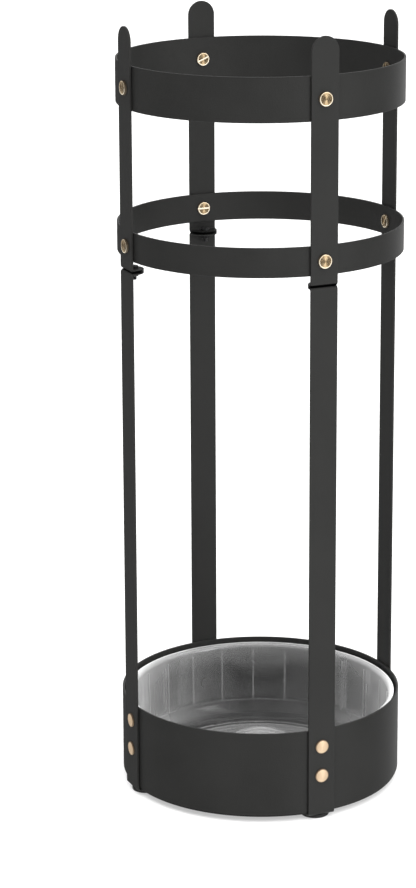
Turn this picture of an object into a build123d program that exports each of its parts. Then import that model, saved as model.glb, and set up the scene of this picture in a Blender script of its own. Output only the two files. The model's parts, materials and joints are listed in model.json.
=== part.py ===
from build123d import *
import os
from math import atan2, degrees, sqrt, tan

# Umbrella stand: three steel bands held by four flat straps, a base plate across the lowest
# band and a lift-out drip tray that stands on it.
# Millimetres. +Z up, origin on the floor at the centre of the stand.
# The straps stand on +X, +Y, -X and -Y.

# ---- overall ----
total_height = 550.0
band_outer_radius = 100.0
band_sheet = 1.5
strap_width = 20.0
strap_sheet = 1.5

band_inner_radius = band_outer_radius - band_sheet
strap_inner_face = band_outer_radius
strap_outer_face = strap_inner_face + strap_sheet
strap_places = {"right": 0, "back": 90, "left": 180, "front": 270}

# ---- heights of the bands ----
top_ring_bottom = 493.5
top_ring_top = 524.0
middle_ring_bottom = 389.5
middle_ring_top = 410.0
base_ring_bottom = 5.5
base_ring_top = 66.0
band_edge_round = 0.35

# ---- base plate, resting on the foot tabs ----
base_plate_radius = 99.3
base_plate_bottom = 4.0
base_plate_top = 5.5

# ---- heights of the fasteners ----
top_screw_height = 508.5
middle_screw_height = 399.5
upper_rivet_height = 54.0
lower_rivet_height = 32.5

# ---- strap bends and tabs ----
bend_outer_radius = 2.6
joint_height = 382.0          # plane where the upper and lower straps meet
joint_tab_centre = 99.0       # radius at which the joint tab's round end is centred
joint_hole_place = 95.2
joint_hole_radius = 1.7
foot_tab_centre = 90.6
strap_edge_round = 0.25
tab_reach = 40.0              # long enough to pass outside the straps
trim_allowance = 1.0          # sheet left past a tab's round end until it is trimmed
joint_hole_length = 10.0      # longer than the two tabs are thick
shortest_side_edge = 50.0     # every other straight edge of a strap is shorter
edge_tolerance = 0.01

# ---- foot pads ----
pad_radius = 10.0
pad_height = 2.5
pad_edge_round = 0.7

# ---- binding posts and their screws ----
post_head_radius = 5.0
post_head_height = 1.6
post_head_round = 0.5
post_rim_width = 0.7
post_dish_depth = 0.15
barrel_end_gap = 0.1          # the barrel stops short of the band's inner face
post_barrel_radius = 2.5
post_bore_radius = 1.5
post_hole_radius = 2.6
screw_head_radius = 4.8
screw_head_height = 1.5
screw_head_round = 0.45
screw_shank_radius = 1.45
screw_slot_width = 1.2
screw_slot_depth = 0.6
shank_end_gap = 0.1           # the shank stops short of the bore's closed end
top_slot_turns = {"right": 70, "back": 68, "left": 140, "front": 100}
middle_slot_turns = {"right": 35, "back": 90, "left": 60, "front": 160}

# ---- rivets ----
rivet_head_radius = 4.9
rivet_head_height = 1.7
rivet_edge_height = 0.8
rivet_shank_radius = 2.4
rivet_hole_radius = 2.4
rivet_tail_radius = 4.0
rivet_tail_height = 0.9
rivet_tail_round = 0.5

# ---- joint screws and nuts, M3 ----
joint_screw_radius = 1.45
joint_screw_length = 8.0
pan_head_radius = 2.8
pan_head_height = 2.0
pan_head_round = 0.8
recess_width = 0.8
recess_length = 3.0
recess_depth = 1.1
nut_across_flats = 5.5
nut_height = 2.4
nut_bore_radius = 1.5
nut_corner_chamfer = 0.3

# ---- drip tray ----
tray_sheet = 1.2
tray_floor_bottom = 5.55      # stands on the base plate
tray_wall_radius_low = 92.4
tray_wall_radius_high = 93.8
tray_corner_radius = 16.0
tray_rim_radius = 96.8
tray_rim_top = 62.8
tray_rim_bend = 2.0
tray_rim_edge_round = 0.5
hub_top_radius = 19.4
hub_base_radius = 24.0
hub_top_height = 25.3
hub_round = 2.0
rib_count = 24
rib_first_angle = 8.5
rib_radius = 0.8
rib_stand_out = 0.6
rib_low_end = 19.0
rib_high_end = 57.0
bead_radius = 0.45
bead_places = (70.3, 75.2)


def copies(shape):
    """The four copies of a shape made for the +X strap, as a list."""
    return [Rot(0, 0, angle) * shape for angle in strap_places.values()]


def group(solids):
    """Separate solids that share one node."""
    return Compound(children=[solid.solid() for solid in solids])


def radial(shape, radius, height):
    """Turn a shape built along +Z so that it points outward along +X at a radius and height."""
    return Pos(radius, 0, height) * Rot(0, 90, 0) * shape


def radial_hole(hole_radius, height):
    """A bar along X that cuts a hole through the band and strap on the +X side."""
    bar = Cylinder(hole_radius, band_outer_radius / 2)
    return radial(bar, band_outer_radius, height)


def turned(*points):
    """A solid turned about +Z from a closed outline of (radius, height) points."""
    return revolve(Plane.XZ * make_face(Polyline(*points, close=True)), Axis.Z)


# ---------------------------------------------------------------- bands

def band(bottom, top, hole_radius, hole_heights):
    """A rolled flat band with a hole on each strap's line at each height."""
    height = top - bottom
    on_base = (Align.CENTER, Align.CENTER, Align.MIN)
    tube = Cylinder(band_outer_radius, height, align=on_base)
    tube -= Cylinder(band_inner_radius, height, align=on_base)
    tube = fillet(tube.edges().filter_by(GeomType.CIRCLE), band_edge_round)
    tube = Pos(0, 0, bottom) * tube
    for hole_height in hole_heights:
        for hole in copies(radial_hole(hole_radius, hole_height)):
            tube -= hole
    return tube


def base_plate():
    """The flat disc that closes the base band. It lies on the four foot tabs."""
    disc = Cylinder(
        base_plate_radius,
        base_plate_top - base_plate_bottom,
        align=(Align.CENTER, Align.CENTER, Align.MIN),
    )
    disc = fillet(disc.edges().filter_by(GeomType.CIRCLE), band_edge_round)
    return Pos(0, 0, base_plate_bottom) * disc


# ---------------------------------------------------------------- straps

def bent_sheet(*points):
    """A strip of strap sheet as wide as a strap, bent along an outline of its outer face."""
    outer = FilletPolyline(*points, radius=bend_outer_radius)
    section = make_face(offset(outer, amount=strap_sheet, side=Side.RIGHT))
    return extrude(Plane.XZ * section, strap_width / 2, both=True)


def tab_outline(centre, bottom, top):
    """What a tab's round end leaves: everything outside its centre, and a round end inside it."""
    height = top - bottom
    on_base = (Align.CENTER, Align.CENTER, Align.MIN)
    end = Pos(centre, 0, bottom) * Cylinder(strap_width / 2, height, align=on_base)
    rest = Pos(centre + tab_reach / 2, 0, bottom) * Box(
        tab_reach, strap_width, height, align=on_base
    )
    return end + rest


def round_top_outline(bottom):
    """The front outline of an upper strap: straight sides and a half-round top."""
    half_width = strap_width / 2
    end = Pos(0, total_height - half_width) * Circle(half_width)
    side_height = total_height - half_width - bottom
    sides = Pos(0, bottom + side_height / 2) * Rectangle(strap_width, side_height)
    return extrude(Plane.YZ * (end + sides), 2 * band_outer_radius)


def tab_hole():
    """The clearance hole for a joint screw through both joint tabs."""
    hole = Cylinder(joint_hole_radius, joint_hole_length)
    return Pos(joint_hole_place, 0, joint_height) * hole


def rounded_sheet(strap):
    """Take the sharp corner off the edges that run along a strap's two sides."""
    half_width = strap_width / 2
    side_edges = [
        edge
        for edge in strap.edges()
        if abs(abs(edge.center().Y) - half_width) < edge_tolerance
        and edge.geom_type == GeomType.LINE
        and edge.length > shortest_side_edge
    ]
    return fillet(side_edges, strap_edge_round)


def upper_strap():
    tab_end = joint_tab_centre - strap_width / 2
    strap = bent_sheet(
        (strap_outer_face, total_height),
        (strap_outer_face, joint_height),
        (tab_end - trim_allowance, joint_height),
    )
    strap &= round_top_outline(joint_height)
    strap &= tab_outline(joint_tab_centre, joint_height, total_height)
    strap = rounded_sheet(strap)
    strap -= radial_hole(post_hole_radius, top_screw_height)
    strap -= radial_hole(post_hole_radius, middle_screw_height)
    return strap - tab_hole()


def lower_strap():
    joint_tab_end = joint_tab_centre - strap_width / 2
    foot_tab_end = foot_tab_centre - strap_width / 2
    middle = (joint_height + pad_height) / 2
    strap = bent_sheet(
        (joint_tab_end - trim_allowance, joint_height),
        (strap_outer_face, joint_height),
        (strap_outer_face, pad_height),
        (foot_tab_end - trim_allowance, pad_height),
    )
    upper_end = tab_outline(joint_tab_centre, middle, joint_height)
    foot_end = tab_outline(foot_tab_centre, pad_height, middle)
    strap &= upper_end + foot_end
    strap = rounded_sheet(strap)
    strap -= radial_hole(rivet_hole_radius, upper_rivet_height)
    strap -= radial_hole(rivet_hole_radius, lower_rivet_height)
    return strap - tab_hole()


# ---------------------------------------------------------------- fasteners

def head_seat(head_radius):
    """Radius where a flat head first touches the inside of a band."""
    return sqrt(band_inner_radius**2 - head_radius**2)


def binding_post(height):
    """A flat round head outside the strap, and a bored barrel through strap and band."""
    barrel_length = strap_outer_face - band_inner_radius - barrel_end_gap
    on_base = (Align.CENTER, Align.CENTER, Align.MIN)
    head = Cylinder(post_head_radius, post_head_height, align=on_base)
    head = fillet(head.edges().sort_by(Axis.Z)[-1], post_head_round)
    dish_radius = post_head_radius - post_rim_width
    dish_floor = post_head_height - post_dish_depth
    head -= Pos(0, 0, dish_floor) * Cylinder(dish_radius, post_head_height, align=on_base)
    barrel = Cylinder(post_barrel_radius, barrel_length + dish_floor, align=on_base)
    bore = Cylinder(post_bore_radius, barrel_length, align=on_base)
    post = head + Pos(0, 0, -barrel_length) * (barrel - bore)
    return radial(post, strap_outer_face, height)


def post_screw(height, slot_turn):
    """A slotted flat head inside the band, and a shank that fills the post's bore."""
    on_top = (Align.CENTER, Align.CENTER, Align.MAX)
    on_base = (Align.CENTER, Align.CENTER, Align.MIN)
    seat = head_seat(screw_head_radius)
    head = Cylinder(screw_head_radius, screw_head_height, align=on_top)
    head = fillet(head.edges().sort_by(Axis.Z)[0], screw_head_round)
    slot = Box(3 * screw_head_radius, screw_slot_width, screw_slot_depth, align=on_base)
    head -= Pos(0, 0, -screw_head_height) * Rot(0, 0, slot_turn) * slot
    shank_length = strap_outer_face - seat - shank_end_gap
    shank = Cylinder(screw_shank_radius, shank_length, align=on_base)
    return radial(head + shank, seat, height)


def rivet(height):
    """A low domed head outside, a shank through strap and band, and a formed tail inside."""
    on_base = (Align.CENTER, Align.CENTER, Align.MIN)
    seat = head_seat(rivet_tail_radius)
    dome_rise = rivet_head_height - rivet_edge_height
    dome_radius = (rivet_head_radius**2 + dome_rise**2) / (2 * dome_rise)
    head = Cylinder(rivet_head_radius, rivet_head_height, align=on_base)
    head &= Pos(0, 0, rivet_head_height - dome_radius) * Sphere(dome_radius)
    grip = strap_outer_face - seat
    shank = Pos(0, 0, -grip) * Cylinder(rivet_shank_radius, grip, align=on_base)
    tail = Cylinder(rivet_tail_radius, rivet_tail_height, align=on_base)
    tail = fillet(tail.edges().sort_by(Axis.Z)[0], rivet_tail_round)
    tail = Pos(0, 0, -grip - rivet_tail_height) * tail
    return radial(head + shank + tail, strap_outer_face, height)


def joint_screw():
    """A cross-recessed pan head on the upper tab, with its shank down through both tabs."""
    seat = joint_height + strap_sheet
    on_base = (Align.CENTER, Align.CENTER, Align.MIN)
    on_top = (Align.CENTER, Align.CENTER, Align.MAX)
    head = Cylinder(pan_head_radius, pan_head_height, align=on_base)
    head = fillet(head.edges().sort_by(Axis.Z)[-1], pan_head_round)
    for turn in (0, 90):
        arm = Box(recess_length, recess_width, recess_depth, align=on_top)
        head -= Pos(0, 0, pan_head_height) * Rot(0, 0, turn) * arm
    shank = Cylinder(joint_screw_radius, joint_screw_length, align=on_top)
    return Pos(joint_hole_place, 0, seat) * (head + shank)


def joint_nut():
    """A hexagon nut under the lower tab."""
    seat = joint_height - strap_sheet
    hexagon = RegularPolygon(nut_across_flats / 2, 6, major_radius=False)
    body = extrude(hexagon, nut_height)
    body -= Cylinder(nut_bore_radius, 3 * nut_height)
    corner_radius = nut_across_flats / sqrt(3)
    cone_top = corner_radius - nut_corner_chamfer
    trim = turned(
        (0, 0),
        (cone_top, 0),
        (corner_radius, nut_corner_chamfer),
        (corner_radius, nut_height),
        (0, nut_height),
    )
    return Pos(joint_hole_place, 0, seat - nut_height) * (body & trim)


# ---------------------------------------------------------------- foot pads

def foot_pad():
    """A round rubber pad stuck under a strap's foot tab."""
    pad = Cylinder(pad_radius, pad_height, align=(Align.CENTER, Align.CENTER, Align.MIN))
    pad = fillet(pad.edges().sort_by(Axis.Z)[0], pad_edge_round)
    return Pos(foot_tab_centre, 0, 0) * pad


# ---------------------------------------------------------------- drip tray

def tray_shell():
    """The tray's thin wall: raised hub, flat floor, tall side and turned-out rim."""
    rim_bottom = tray_rim_top - tray_sheet
    underside = FilletPolyline(
        (0, hub_top_height - tray_sheet),
        (hub_top_radius - tray_sheet, hub_top_height - tray_sheet),
        (hub_base_radius - tray_sheet, tray_floor_bottom),
        (tray_wall_radius_low, tray_floor_bottom),
        (tray_wall_radius_high, rim_bottom),
        (tray_rim_radius, rim_bottom),
        radius=[
            hub_round - tray_sheet,
            hub_round + tray_sheet,
            tray_corner_radius,
            tray_rim_bend,
        ],
    )
    section = make_face(offset(underside, amount=tray_sheet, side=Side.LEFT))
    rim_corners = section.vertices().sort_by(Axis.X)[-2:]
    section = fillet(rim_corners, tray_rim_edge_round)
    return revolve(Plane.XZ * section, Axis.Z)


def tray_rib():
    """A half-round rib with a round top that runs up the inside of the sloping wall."""
    wall_height = tray_rim_top - tray_sheet - tray_floor_bottom
    slope = atan2(tray_wall_radius_high - tray_wall_radius_low, wall_height)
    wall_rise = rib_low_end - tray_floor_bottom
    wall_inside = tray_wall_radius_low + wall_rise * tan(slope) - tray_sheet
    axis_radius = wall_inside - rib_stand_out + rib_radius
    length = rib_high_end - rib_low_end
    bar = Cylinder(rib_radius, length, align=(Align.CENTER, Align.CENTER, Align.MIN))
    bar += Pos(0, 0, length) * Sphere(rib_radius)
    return Pos(axis_radius, 0, rib_low_end) * Rot(0, degrees(slope), 0) * bar


def drip_tray():
    tray = tray_shell()
    floor_top = tray_floor_bottom + tray_sheet
    for place in bead_places:
        tray += Pos(0, 0, floor_top) * Torus(place, bead_radius)
    rib_angles = [rib_first_angle + index * 360 / rib_count for index in range(rib_count)]
    return tray + [Rot(0, 0, angle) * tray_rib() for angle in rib_angles]


# ---------------------------------------------------------------- all nodes

nodes = {
    "top_ring": band(top_ring_bottom, top_ring_top, post_hole_radius, [top_screw_height]),
    "middle_ring": band(
        middle_ring_bottom, middle_ring_top, post_hole_radius, [middle_screw_height]
    ),
    "base_ring": band(
        base_ring_bottom,
        base_ring_top,
        rivet_hole_radius,
        [upper_rivet_height, lower_rivet_height],
    ),
    "base_plate": base_plate(),
    "top_ring_posts": group(copies(binding_post(top_screw_height))),
    "middle_ring_posts": group(copies(binding_post(middle_screw_height))),
    "base_rivets_upper": group(copies(rivet(upper_rivet_height))),
    "base_rivets_lower": group(copies(rivet(lower_rivet_height))),
    "joint_screws": group(copies(joint_screw())),
    "joint_nuts": group(copies(joint_nut())),
    "drip_tray": drip_tray(),
}

for name, height, turns in (
    ("top_ring_screws", top_screw_height, top_slot_turns),
    ("middle_ring_screws", middle_screw_height, middle_slot_turns),
):
    nodes[name] = group(
        [
            Rot(0, 0, angle) * post_screw(height, turns[place])
            for place, angle in strap_places.items()
        ]
    )

for place, angle in strap_places.items():
    turn = Rot(0, 0, angle)
    nodes[f"upper_strap_{place}"] = turn * upper_strap()
    nodes[f"lower_strap_{place}"] = turn * lower_strap()
    nodes[f"foot_pad_{place}"] = turn * foot_pad()

os.makedirs("parts", exist_ok=True)
for name, shape in nodes.items():
    export_step(shape, f"parts/{name}.step")
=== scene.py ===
import json
from math import cos, radians, sin, tau

import bpy
from mathutils import Matrix, Vector


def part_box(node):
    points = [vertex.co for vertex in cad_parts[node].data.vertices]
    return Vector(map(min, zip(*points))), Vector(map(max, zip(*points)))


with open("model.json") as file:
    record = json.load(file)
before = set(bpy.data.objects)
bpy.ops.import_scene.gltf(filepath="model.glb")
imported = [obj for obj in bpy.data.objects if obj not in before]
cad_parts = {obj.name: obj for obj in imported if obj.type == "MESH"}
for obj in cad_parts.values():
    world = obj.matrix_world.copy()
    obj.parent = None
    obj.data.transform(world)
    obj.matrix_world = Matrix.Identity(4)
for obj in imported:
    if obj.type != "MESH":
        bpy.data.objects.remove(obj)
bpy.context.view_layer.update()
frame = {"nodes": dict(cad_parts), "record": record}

scene = bpy.context.scene


# ---------------------------------------------------------------- node helpers


class Graph:
    """A material's or world's node tree, with short calls for adding and joining nodes."""

    def __init__(self, tree):
        self.tree = tree
        self.tree.nodes.clear()

    def add(self, kind, settings=None, **inputs):
        """Add a node. settings are its properties; inputs are sockets, given values or links."""
        node = self.tree.nodes.new(kind)
        for name, value in (settings or {}).items():
            setattr(node, name, value)
        for name, value in inputs.items():
            self.put(node, name.replace("_", " "), value)
        return node

    def put(self, node, name, value):
        """Set or link one input socket, found by its name or its number."""
        socket = node.inputs[name]
        if isinstance(value, bpy.types.NodeSocket):
            self.tree.links.new(value, socket)
        else:
            socket.default_value = value

    def math(self, operation, *values):
        node = self.add("ShaderNodeMath", {"operation": operation})
        for index, value in enumerate(values):
            self.put(node, index, value)
        return node.outputs[0]

    def vector(self, operation, *values):
        node = self.add("ShaderNodeVectorMath", {"operation": operation})
        for index, value in enumerate(values):
            self.put(node, index, value)
        return node.outputs["Value" if operation in ("DOT_PRODUCT", "LENGTH") else "Vector"]

    def scaled(self, vector, factor):
        node = self.add("ShaderNodeVectorMath", {"operation": "SCALE"})
        self.put(node, 0, vector)
        self.put(node, "Scale", factor)
        return node.outputs["Vector"]

    def noise(self, place, scale, detail=2.0, roughness=0.5):
        node = self.add(
            "ShaderNodeTexNoise", Vector=place, Scale=scale, Detail=detail, Roughness=roughness
        )
        return node.outputs["Fac"]

    def spread(self, value, low, high, to_low, to_high):
        """Map a value from one range to another, held at the ends."""
        node = self.add("ShaderNodeMapRange", {"clamp": True}, Value=value)
        for name, number in zip(("From Min", "From Max", "To Min", "To Max"), (low, high, to_low, to_high)):
            self.put(node, name, number)
        return node.outputs["Result"]

    def blend(self, factor, first, second):
        """Mix two colours."""
        node = self.add("ShaderNodeMix", {"data_type": "RGBA"})
        for index, value in ((0, factor), (6, first), (7, second)):
            self.put(node, index, value)
        return node.outputs[2]

    def bump(self, height, depth):
        return self.add("ShaderNodeBump", Height=height, Distance=depth)

    def object_place(self):
        return self.add("ShaderNodeTexCoord").outputs["Object"]

    def axis_distance(self, place):
        """How far a point is from the stand's upright axis."""
        return self.vector("LENGTH", self.vector("MULTIPLY", place, (1.0, 1.0, 0.0)))


def new_material(name):
    material = bpy.data.materials.new(name)
    material.use_nodes = True
    return material, Graph(material.node_tree)


def finish_surface(graph, shader):
    graph.add("ShaderNodeOutputMaterial", Surface=shader)


def edge_mask(graph, radius, low, high):
    """1 along convex edges and 0 on open faces, from how far a rounded normal turns."""
    rounded = graph.add("ShaderNodeBevel", {"samples": 4}, Radius=radius).outputs["Normal"]
    true = graph.add("ShaderNodeNewGeometry").outputs["Normal"]
    facing = graph.vector("DOT_PRODUCT", rounded, true)
    turn = graph.math("SUBTRACT", 1.0, facing)
    return graph.spread(turn, low, high, 0.0, 1.0)


# ---------------------------------------------------------------- materials

# Places on the object, in metres. Radii are measured from the stand's upright axis. A pair of
# values is where something starts to change and where it has changed.
RING_PITCH = 0.0004  # between the fine rings on a turned head
RING_TILT = 0.52  # how far the rings tip the surface
MILLED_DEPTH = 0.00012  # how near to a slot's floor still counts as the floor
SLOT_FLOOR = 0.09748
BAND_INSIDE = (0.0985, 0.0990)
GROOVE_HEIGHT = 0.3825  # middle of the groove between an upper and a lower strap
# GROOVE_REACH is how far the painted shade around the groove reaches
GROOVE_REACH = (0.0007, 0.0012)
WALL_FOOT = (0.0912, 0.00555)  # inner radius and height where the tray's wall would meet the floor
WALL_HEAD = (0.0926, 0.0616)
SIDE_START = (0.082, 0.0895)
BELOW_RIM = (0.046, 0.0615)
RIB_FOOT = (0.0180, 0.0190)
RIB_DEPTH = (0.0001, 0.0003)
CORNER_START = (0.0765, 0.0785)
CORNER_TOP = (0.0180, 0.0220)
FLOOR_TOP = (0.0085, 0.0105)
FLOOR_EDGE = (0.0700, 0.0712)
BEAD_RADIUS = 0.0752
BEAD_HALF_WIDTH = 0.0005
HUB_SIDE = (0.0200, 0.0212)
HUB_OUTLINE = (0.0178, 0.0186)
RIM_START = (0.0950, 0.0958)


def powder_coat():
    """Matte black powder coat: fine orange peel, faint cloudiness, thinner on the edges.

    Painted shade in the groove where two straps meet: there the colour is nearly black and the surface
    fully metallic, so it reflects very little.
    """
    material, graph = new_material("black_powder_coat")
    place = graph.object_place()
    clouds = graph.noise(place, 22.0, 3.0)
    peel = graph.noise(place, 780.0, 2.0, 0.55)
    grain = graph.noise(place, 2600.0, 1.0)
    edges = edge_mask(graph, 0.0006, 0.03, 0.30)
    colour = graph.blend(
        graph.spread(clouds, 0.3, 0.7, 0.0, 1.0), (0.0176, 0.0176, 0.0168, 1), (0.0212, 0.0212, 0.0203, 1)
    )
    worn = graph.math("MULTIPLY", edges, graph.spread(peel, 0.35, 0.65, 0.35, 0.9))
    colour = graph.blend(worn, colour, (0.040, 0.040, 0.039, 1))
    # Painted shade in the groove between an upper and a lower strap: near-black colour, and fully metallic
    # so it reflects very little.
    height = graph.add("ShaderNodeSeparateXYZ", Vector=place).outputs["Z"]
    from_groove = graph.math("ABSOLUTE", graph.math("SUBTRACT", height, GROOVE_HEIGHT))
    groove = graph.spread(from_groove, *GROOVE_REACH, 1.0, 0.0)
    colour = graph.blend(groove, colour, (0.003, 0.003, 0.003, 1))
    rough = graph.spread(clouds, 0.25, 0.75, 0.52, 0.60)
    rough = graph.math("ADD", rough, graph.spread(grain, 0.3, 0.7, -0.03, 0.03))
    coarse = graph.bump(peel, 0.00007)
    fine = graph.bump(grain, 0.000018)
    graph.put(fine, "Normal", coarse.outputs["Normal"])
    surface = graph.add(
        "ShaderNodeBsdfPrincipled", Roughness=rough, Metallic=groove, Normal=fine.outputs["Normal"]
    )
    graph.put(surface, "Base Color", colour)
    surface.inputs["Specular IOR Level"].default_value = 0.25
    finish_surface(graph, surface.outputs[0])
    return material


def head_place(graph, place, centre_height):
    """Where a point lies on a fastener head that faces outward from the stand's axis.

    The head's centre line passes through the axis at centre_height, and the smaller of |x|
    and |y| is the sideways distance from it. Gives the distance from that line, the direction
    away from it, how far up it the point is, and the distance from the axis along it.
    """
    x, y, z = graph.add("ShaderNodeSeparateXYZ", Vector=place).outputs
    rise = graph.math("SUBTRACT", z, centre_height)
    on_x = graph.math("GREATER_THAN", graph.math("ABSOLUTE", x), graph.math("ABSOLUTE", y))
    on_y = graph.math("SUBTRACT", 1.0, on_x)
    across = graph.add(
        "ShaderNodeCombineXYZ", X=graph.math("MULTIPLY", x, on_y), Y=graph.math("MULTIPLY", y, on_x), Z=rise
    ).outputs[0]
    depth = graph.math("MAXIMUM", graph.math("ABSOLUTE", x), graph.math("ABSOLUTE", y))
    return graph.vector("LENGTH", across), graph.vector("NORMALIZE", across), rise, depth


def turned_brass(name, centre_height, rim_start, radius):
    """Lathe-turned brass: a darker face of fine rings inside a rim.

    The rings tip the normal in and out, which spreads a reflected strip into a fan. The rim has a
    painted highlight, brightest below, and its outer corner a painted dark outline of shade. The
    floor of a slot is milled, so it has no rings; it has the same painted highlight as the rim.
    Where the highlight is painted, the brass is made less metallic.
    """
    material, graph = new_material(name)
    place = graph.object_place()
    reach, outward, rise, depth = head_place(graph, place, centre_height)
    milled = graph.math("COMPARE", depth, SLOT_FLOOR, MILLED_DEPTH)
    # Painted highlight on the rim, brightest below, and on the slot's floor; painted shade as a dark
    # outline at the head's outer corner.
    rim = graph.spread(reach, rim_start, rim_start + 0.00015, 0.0, 1.0)
    lower = graph.spread(rise, -0.002, 0.004, 1.0, 0.35)
    painted_highlight = graph.math("MAXIMUM", milled, graph.math("MULTIPLY", rim, lower))
    corner = graph.spread(reach, radius - 0.0004, radius - 0.00015, 0.0, 0.9)

    wander = graph.spread(graph.noise(place, 500.0), 0.0, 1.0, -0.00004, 0.00004)
    phase = graph.math("MULTIPLY", graph.math("ADD", reach, wander), tau / RING_PITCH)
    swing = graph.math("MULTIPLY", graph.math("SINE", phase), RING_TILT)
    swing = graph.math("MULTIPLY", swing, graph.math("SUBTRACT", 1.0, graph.math("MAXIMUM", milled, rim)))
    normal = graph.add("ShaderNodeNewGeometry").outputs["Normal"]
    tipped = graph.vector("NORMALIZE", graph.vector("ADD", normal, graph.scaled(outward, swing)))
    stain = graph.noise(place, 350.0, 3.0)
    colour = graph.blend(
        graph.spread(stain, 0.35, 0.7, 0.0, 1.0), (0.56, 0.42, 0.25, 1), (0.38, 0.27, 0.15, 1)
    )
    # Painted highlight colour on the rim and slot floor, then the painted shade at the outer corner.
    colour = graph.blend(painted_highlight, colour, (0.84, 0.75, 0.59, 1))
    colour = graph.blend(corner, colour, (0.09, 0.065, 0.04, 1))
    surface = graph.add(
        "ShaderNodeBsdfPrincipled",
        Roughness=graph.spread(stain, 0.3, 0.7, 0.09, 0.15),
        Metallic=graph.math("SUBTRACT", 1.0, graph.math("MULTIPLY", painted_highlight, 0.7)),
        Normal=tipped,
    )
    graph.put(surface, "Base Color", colour)
    finish_surface(graph, surface.outputs[0])
    return material


def rivet_brass(name, centre_height):
    """Pressed satin brass: faint hammer marks, a painted dark outline of shade round the edge, darkest at
    the top, and black paint inside the band.
    """
    material, graph = new_material(name)
    place = graph.object_place()
    reach, _, rise, depth = head_place(graph, place, centre_height)
    marks = graph.noise(place, 420.0, 2.0)
    fine = graph.noise(place, 2400.0, 2.0)
    inside = graph.spread(depth, *BAND_INSIDE, 1.0, 0.0)
    # Painted shade: a dark outline round the head's edge, darkest at the top.
    edge = graph.spread(reach, 0.0041, 0.0046, 0.0, graph.spread(rise, -0.003, 0.003, 0.45, 1.0))
    colour = graph.blend(
        graph.spread(fine, 0.3, 0.7, 0.0, 1.0), (0.66, 0.49, 0.32, 1), (0.71, 0.535, 0.36, 1)
    )
    colour = graph.blend(edge, colour, (0.12, 0.08, 0.05, 1))
    colour = graph.blend(inside, colour, (0.018, 0.018, 0.017, 1))
    surface = graph.add(
        "ShaderNodeBsdfPrincipled",
        Roughness=graph.spread(fine, 0.3, 0.7, 0.34, 0.44),
        Metallic=graph.math("SUBTRACT", 0.45, graph.math("MULTIPLY", inside, 0.45)),
        Normal=graph.bump(marks, 0.00006).outputs["Normal"],
    )
    graph.put(surface, "Base Color", colour)
    finish_surface(graph, surface.outputs[0])
    return material


def screw_steel():
    """Black zinc on small screws and nuts: dark, slightly shiny, brighter on the edges."""
    material, graph = new_material("black_screw_steel")
    place = graph.object_place()
    grain = graph.noise(place, 1800.0, 2.0)
    edges = edge_mask(graph, 0.0003, 0.03, 0.30)
    colour = graph.blend(edges, (0.030, 0.030, 0.031, 1), (0.13, 0.13, 0.13, 1))
    surface = graph.add(
        "ShaderNodeBsdfPrincipled",
        Roughness=graph.spread(grain, 0.3, 0.7, 0.30, 0.42),
        Normal=graph.bump(grain, 0.00001).outputs["Normal"],
    )
    graph.put(surface, "Base Color", colour)
    surface.inputs["Metallic"].default_value = 0.6
    finish_surface(graph, surface.outputs[0])
    return material


def rubber():
    """Matte black moulded rubber with a fine grain."""
    material, graph = new_material("black_rubber")
    place = graph.object_place()
    grain = graph.noise(place, 2200.0, 3.0)
    patches = graph.noise(place, 160.0, 2.0)
    colour = graph.blend(patches, (0.010, 0.010, 0.010, 1), (0.020, 0.020, 0.020, 1))
    surface = graph.add(
        "ShaderNodeBsdfPrincipled",
        Roughness=graph.spread(patches, 0.3, 0.7, 0.72, 0.85),
        Normal=graph.bump(grain, 0.00004).outputs["Normal"],
    )
    graph.put(surface, "Base Color", colour)
    finish_surface(graph, surface.outputs[0])
    return material


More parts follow.
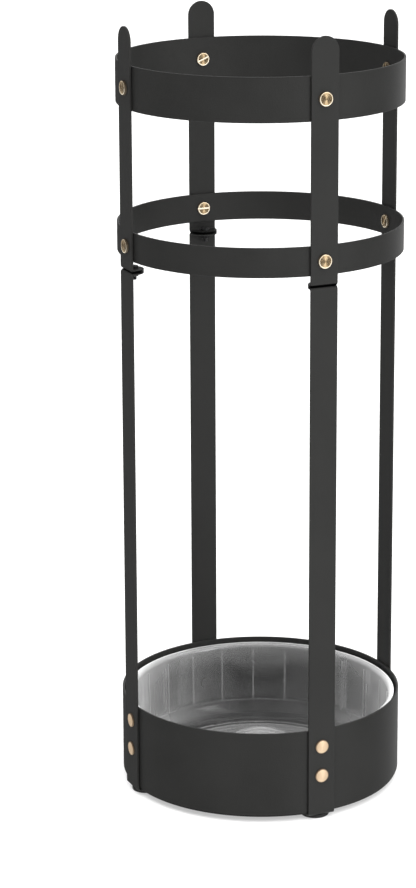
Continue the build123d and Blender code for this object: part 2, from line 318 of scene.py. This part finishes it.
def clear_plastic():
    """Clear moulded plastic: gloss over see-through, with a milky haze of varying thickness.

    Painted shade in the round corner between the floor and the side: there it is greyer and less glossy.

    The side turns milky edge-on and towards its rim. The floor and the top of the hub are
    lightly frosted, and the hub's edge and the rim are frosted most.
    """
    material, graph = new_material("clear_plastic")
    place = graph.object_place()
    height = graph.add("ShaderNodeSeparateXYZ", Vector=place).outputs["Z"]
    reach = graph.axis_distance(place)
    drawn = graph.vector("MULTIPLY", place, (1.0, 1.0, 0.12))
    flow = graph.noise(drawn, 60.0, 2.0)
    fine = graph.noise(place, 900.0, 2.0)
    relief = graph.math("ADD", flow, graph.math("MULTIPLY", fine, 0.003))
    bump = graph.bump(relief, 0.0002).outputs["Normal"]
    from_axis = graph.vector("NORMALIZE", graph.vector("MULTIPLY", place, (1.0, 1.0, 0.0)))
    facing = graph.add("ShaderNodeLayerWeight", Blend=0.5, Normal=from_axis).outputs["Facing"]

    side = graph.spread(reach, *SIDE_START, 0.0, 1.0)
    edge_on = graph.math("MULTIPLY", graph.math("POWER", facing, 1.25), 0.64)
    below_rim = graph.spread(height, *BELOW_RIM, 0.0, 0.12)
    wall_inside = graph.spread(height, WALL_FOOT[1], WALL_HEAD[1], WALL_FOOT[0], WALL_HEAD[0])
    stands_in = graph.math("SUBTRACT", wall_inside, reach)
    ribs = graph.math("MULTIPLY", graph.spread(stands_in, *RIB_DEPTH, 0.0, 0.10), side)
    ribs = graph.math("MULTIPLY", ribs, graph.spread(height, *RIB_FOOT, 0.0, 1.0))
    side_haze = graph.math("MULTIPLY", side, graph.math("ADD", edge_on, below_rim))
    low = graph.spread(height, *FLOOR_TOP, 1.0, 0.0)
    floor_haze = graph.math("MULTIPLY", graph.spread(reach, *FLOOR_EDGE, 0.10, 0.0), low)
    bead = graph.math("MULTIPLY", graph.math("COMPARE", reach, BEAD_RADIUS, BEAD_HALF_WIDTH), low)
    bead = graph.math("MULTIPLY", bead, 0.16)
    hub = graph.spread(reach, *HUB_SIDE, 1.0, 0.0)
    hub_haze = graph.math("MULTIPLY", hub, graph.spread(reach, *HUB_OUTLINE, 0.18, 0.80))
    rim = graph.spread(reach, *RIM_START, 0.0, 0.25)
    haze = graph.spread(flow, 0.3, 0.7, 0.005, 0.025)
    for part in (side_haze, ribs, floor_haze, bead, hub_haze, rim):
        haze = graph.math("ADD", haze, part)
    haze = graph.math("MINIMUM", haze, 0.9)

    # Painted shade: the round corner between the floor and the side lets less through and shines less.
    past_floor = graph.spread(reach, *CORNER_START, 0.0, 1.0)
    corner_shade = graph.math("MULTIPLY", past_floor, graph.spread(height, *CORNER_TOP, 1.0, 0.0))
    tint = graph.blend(corner_shade, (0.95, 0.95, 0.95, 1), (0.64, 0.64, 0.64, 1))
    see_through = graph.add("ShaderNodeBsdfTransparent", Color=tint).outputs[0]
    milky = graph.add("ShaderNodeBsdfDiffuse", Color=(0.93, 0.93, 0.93, 1), Normal=bump).outputs[0]
    body = graph.add("ShaderNodeMixShader")
    for index, value in enumerate((haze, see_through, milky)):
        graph.put(body, index, value)
    gloss = graph.add("ShaderNodeBsdfGlossy", Color=(1, 1, 1, 1), Roughness=0.10, Normal=bump)
    shine = graph.add("ShaderNodeFresnel", IOR=1.5, Normal=bump).outputs[0]
    shine = graph.math("MULTIPLY", shine, graph.spread(corner_shade, 0.0, 1.0, 1.0, 0.55))
    surface = graph.add("ShaderNodeMixShader")
    for index, value in enumerate((shine, body.outputs[0], gloss.outputs[0])):
        graph.put(surface, index, value)
    finish_surface(graph, surface.outputs[0])
    return material


def node_centre_height(node):
    low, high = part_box(node)
    return (low.z + high.z) / 2


slot_materials = {
    "black_powder_coat": powder_coat(),
    "black_screw_steel": screw_steel(),
    "black_rubber": rubber(),
    "clear_plastic": clear_plastic(),
}
head_materials = {}
for node, rim_start, radius in (
    ("top_ring_posts", 0.0041, 0.0050),
    ("middle_ring_posts", 0.0041, 0.0050),
    ("top_ring_screws", 0.0039, 0.0048),
    ("middle_ring_screws", 0.0039, 0.0048),
):
    head_materials[node] = turned_brass(
        f"turned_brass_{node}", node_centre_height(node), rim_start, radius
    )
for node in ("base_rivets_upper", "base_rivets_lower"):
    head_materials[node] = rivet_brass(f"rivet_brass_{node}", node_centre_height(node))

for part in frame["record"]["subparts"]:
    node = part["node"]
    material = head_materials.get(node) or slot_materials[part["material_slot"]]
    mesh = frame["nodes"][node].data
    mesh.materials.clear()
    mesh.materials.append(material)


# ---------------------------------------------------------------- floor

FLOOR_HALF_WIDTH = 14.0
FLOOR_DROP = 0.0001  # keeps the floor just clear of the feet


def build_floor():
    """A plain pale floor. It glows a little, so the ground shadow stays faint."""
    corners = [(-1, -1), (1, -1), (1, 1), (-1, 1)]
    mesh = bpy.data.meshes.new("studio_floor")
    points = [(FLOOR_HALF_WIDTH * x, FLOOR_HALF_WIDTH * y, -FLOOR_DROP) for x, y in corners]
    mesh.from_pydata(points, [], [(0, 1, 2, 3)])
    floor = bpy.data.objects.new("studio_floor", mesh)
    scene.collection.objects.link(floor)
    material, graph = new_material("studio_floor")
    patches = graph.noise(graph.object_place(), 3.0, 3.0)
    surface = graph.add("ShaderNodeBsdfPrincipled", Roughness=graph.spread(patches, 0.3, 0.7, 0.7, 0.8))
    graph.put(surface, "Base Color", (0.5, 0.5, 0.5, 1))
    surface.inputs["Specular IOR Level"].default_value = 0.1
    surface.inputs["Emission Color"].default_value = (1.0, 1.0, 1.0, 1)
    surface.inputs["Emission Strength"].default_value = 0.45
    finish_surface(graph, surface.outputs[0])
    mesh.materials.append(material)
    floor.visible_glossy = False


build_floor()


# ---------------------------------------------------------------- light

MIDDLE_OF_STAND = Vector((0, 0, 0.28))


def heading(azimuth):
    """The level direction at an azimuth, counted from +X towards +Y."""
    return (cos(radians(azimuth)), sin(radians(azimuth)), 0.0)


def studio_world():
    """The room: an even pale surround, and a darker one with tall light strips for reflections.

    The strips stand where the flat faces of the straps' fasteners mirror them. Turned rings
    spread a strip into the upright fan of light seen on each head.
    """
    world = bpy.data.worlds.new("studio")
    world.use_nodes = True
    scene.world = world
    graph = Graph(world.node_tree)
    rays = graph.add("ShaderNodeLightPath").outputs
    direction = graph.add("ShaderNodeTexCoord").outputs["Generated"]
    height = graph.add("ShaderNodeSeparateXYZ", Vector=direction).outputs["Z"]
    level = graph.vector("NORMALIZE", graph.vector("MULTIPLY", direction, (1.0, 1.0, 0.0)))

    low_fade = graph.spread(height, -0.42, -0.20, 0.6, 1.0)
    sideways = graph.vector("DOT_PRODUCT", level, heading(CAMERA_AZIMUTH + 50))
    mirrored = graph.spread(sideways, -1.0, 1.0, 0.085, 0.165)
    for azimuth, wide, narrow, strength in REFLECTED_STRIPS:
        across = graph.vector("DOT_PRODUCT", level, heading(azimuth))
        strip = graph.spread(across, cos(radians(wide)), cos(radians(narrow)), 0.0, strength)
        mirrored = graph.math("ADD", mirrored, graph.math("MULTIPLY", strip, low_fade))
    mirrored = graph.math("MULTIPLY", mirrored, graph.spread(height, 0.45, 0.85, 1.0, 0.35))
    mirrored = graph.math("ADD", mirrored, graph.spread(height, -0.45, -0.80, 0.0, 0.8))

    cap = graph.spread(height, 0.60, 0.86, 0.0, 3.3)
    even = graph.spread(height, 0.0, 0.6, 0.52, 0.68)
    even = graph.math("MULTIPLY", even, graph.spread(sideways, -1.0, 1.0, 0.70, 1.25))
    strength = graph.math("ADD", even, cap)
    for chosen, value in ((rays["Is Glossy Ray"], mirrored), (rays["Is Camera Ray"], 1.0)):
        pick = graph.add("ShaderNodeMix", {"data_type": "FLOAT"})
        for index, part in ((0, chosen), (2, strength), (3, value)):
            graph.put(pick, index, part)
        strength = pick.outputs[0]
    light = graph.add("ShaderNodeBackground", Color=(1.0, 1.0, 1.0, 1), Strength=strength)
    graph.add("ShaderNodeOutputWorld", Surface=light.outputs[0])


def softbox(name, azimuth, elevation, distance, width, height, power):
    """A rectangular area light that looks at the stand. Azimuth is counted from +X towards +Y."""
    light = bpy.data.lights.new(name, "AREA")
    light.shape = "RECTANGLE"
    light.size = width
    light.size_y = height
    light.energy = power
    lamp = bpy.data.objects.new(name, light)
    scene.collection.objects.link(lamp)
    turn, rise = radians(azimuth), radians(elevation)
    offset = Vector((cos(rise) * cos(turn), cos(rise) * sin(turn), sin(rise)))
    lamp.location = MIDDLE_OF_STAND + distance * offset
    lamp.rotation_euler = (-offset).to_track_quat("-Z", "Y").to_euler()
    lamp.visible_glossy = False


CAMERA_AZIMUTH = -114.937
# azimuth, half width where it fades out, half width where it is full, strength
REFLECTED_STRIPS = (
    (CAMERA_AZIMUTH + 160, 36, 14, 1.4),
    (CAMERA_AZIMUTH + 50, 13, 4, 2.6),
    (CAMERA_AZIMUTH - 130, 14, 5, 0.6),
)

studio_world()
softbox("front_key", CAMERA_AZIMUTH + 40, elevation=30, distance=3.0, width=1.6, height=1.6, power=42)


# ---------------------------------------------------------------- camera

SENSOR_WIDTH = 36.0
CAMERA_DISTANCE = 1.96402  # from the stand's upright axis
CAMERA_HEIGHT = 0.80855
CAMERA_PITCH_DOWN = 14.5294
CAMERA_YAW = 1.079
CAMERA_ROLL = -0.2706
CAMERA_LENS = 116.478
CAMERA_SHIFT_DOWN = 0.0812


def build_camera():
    """The camera stands at CAMERA_AZIMUTH and looks at the stand, turned by the small yaw and roll."""
    camera_data = bpy.data.cameras.new("camera")
    camera_data.lens = CAMERA_LENS
    camera_data.sensor_width = SENSOR_WIDTH
    camera_data.shift_y = -CAMERA_SHIFT_DOWN
    camera_data.clip_end = 100.0
    camera = bpy.data.objects.new("camera", camera_data)
    scene.collection.objects.link(camera)
    turn = radians(CAMERA_AZIMUTH)
    camera.location = (CAMERA_DISTANCE * cos(turn), CAMERA_DISTANCE * sin(turn), CAMERA_HEIGHT)
    swing = Matrix.Rotation(radians(CAMERA_AZIMUTH + 90.0 + CAMERA_YAW), 3, "Z")
    tilt = Matrix.Rotation(radians(90.0 - CAMERA_PITCH_DOWN), 3, "X")
    roll = Matrix.Rotation(radians(CAMERA_ROLL), 3, "Z")
    camera.rotation_euler = (swing @ tilt @ roll).to_euler()
    scene.camera = camera


build_camera()

scene.view_settings.view_transform = "Standard"
scene.view_settings.look = "None"
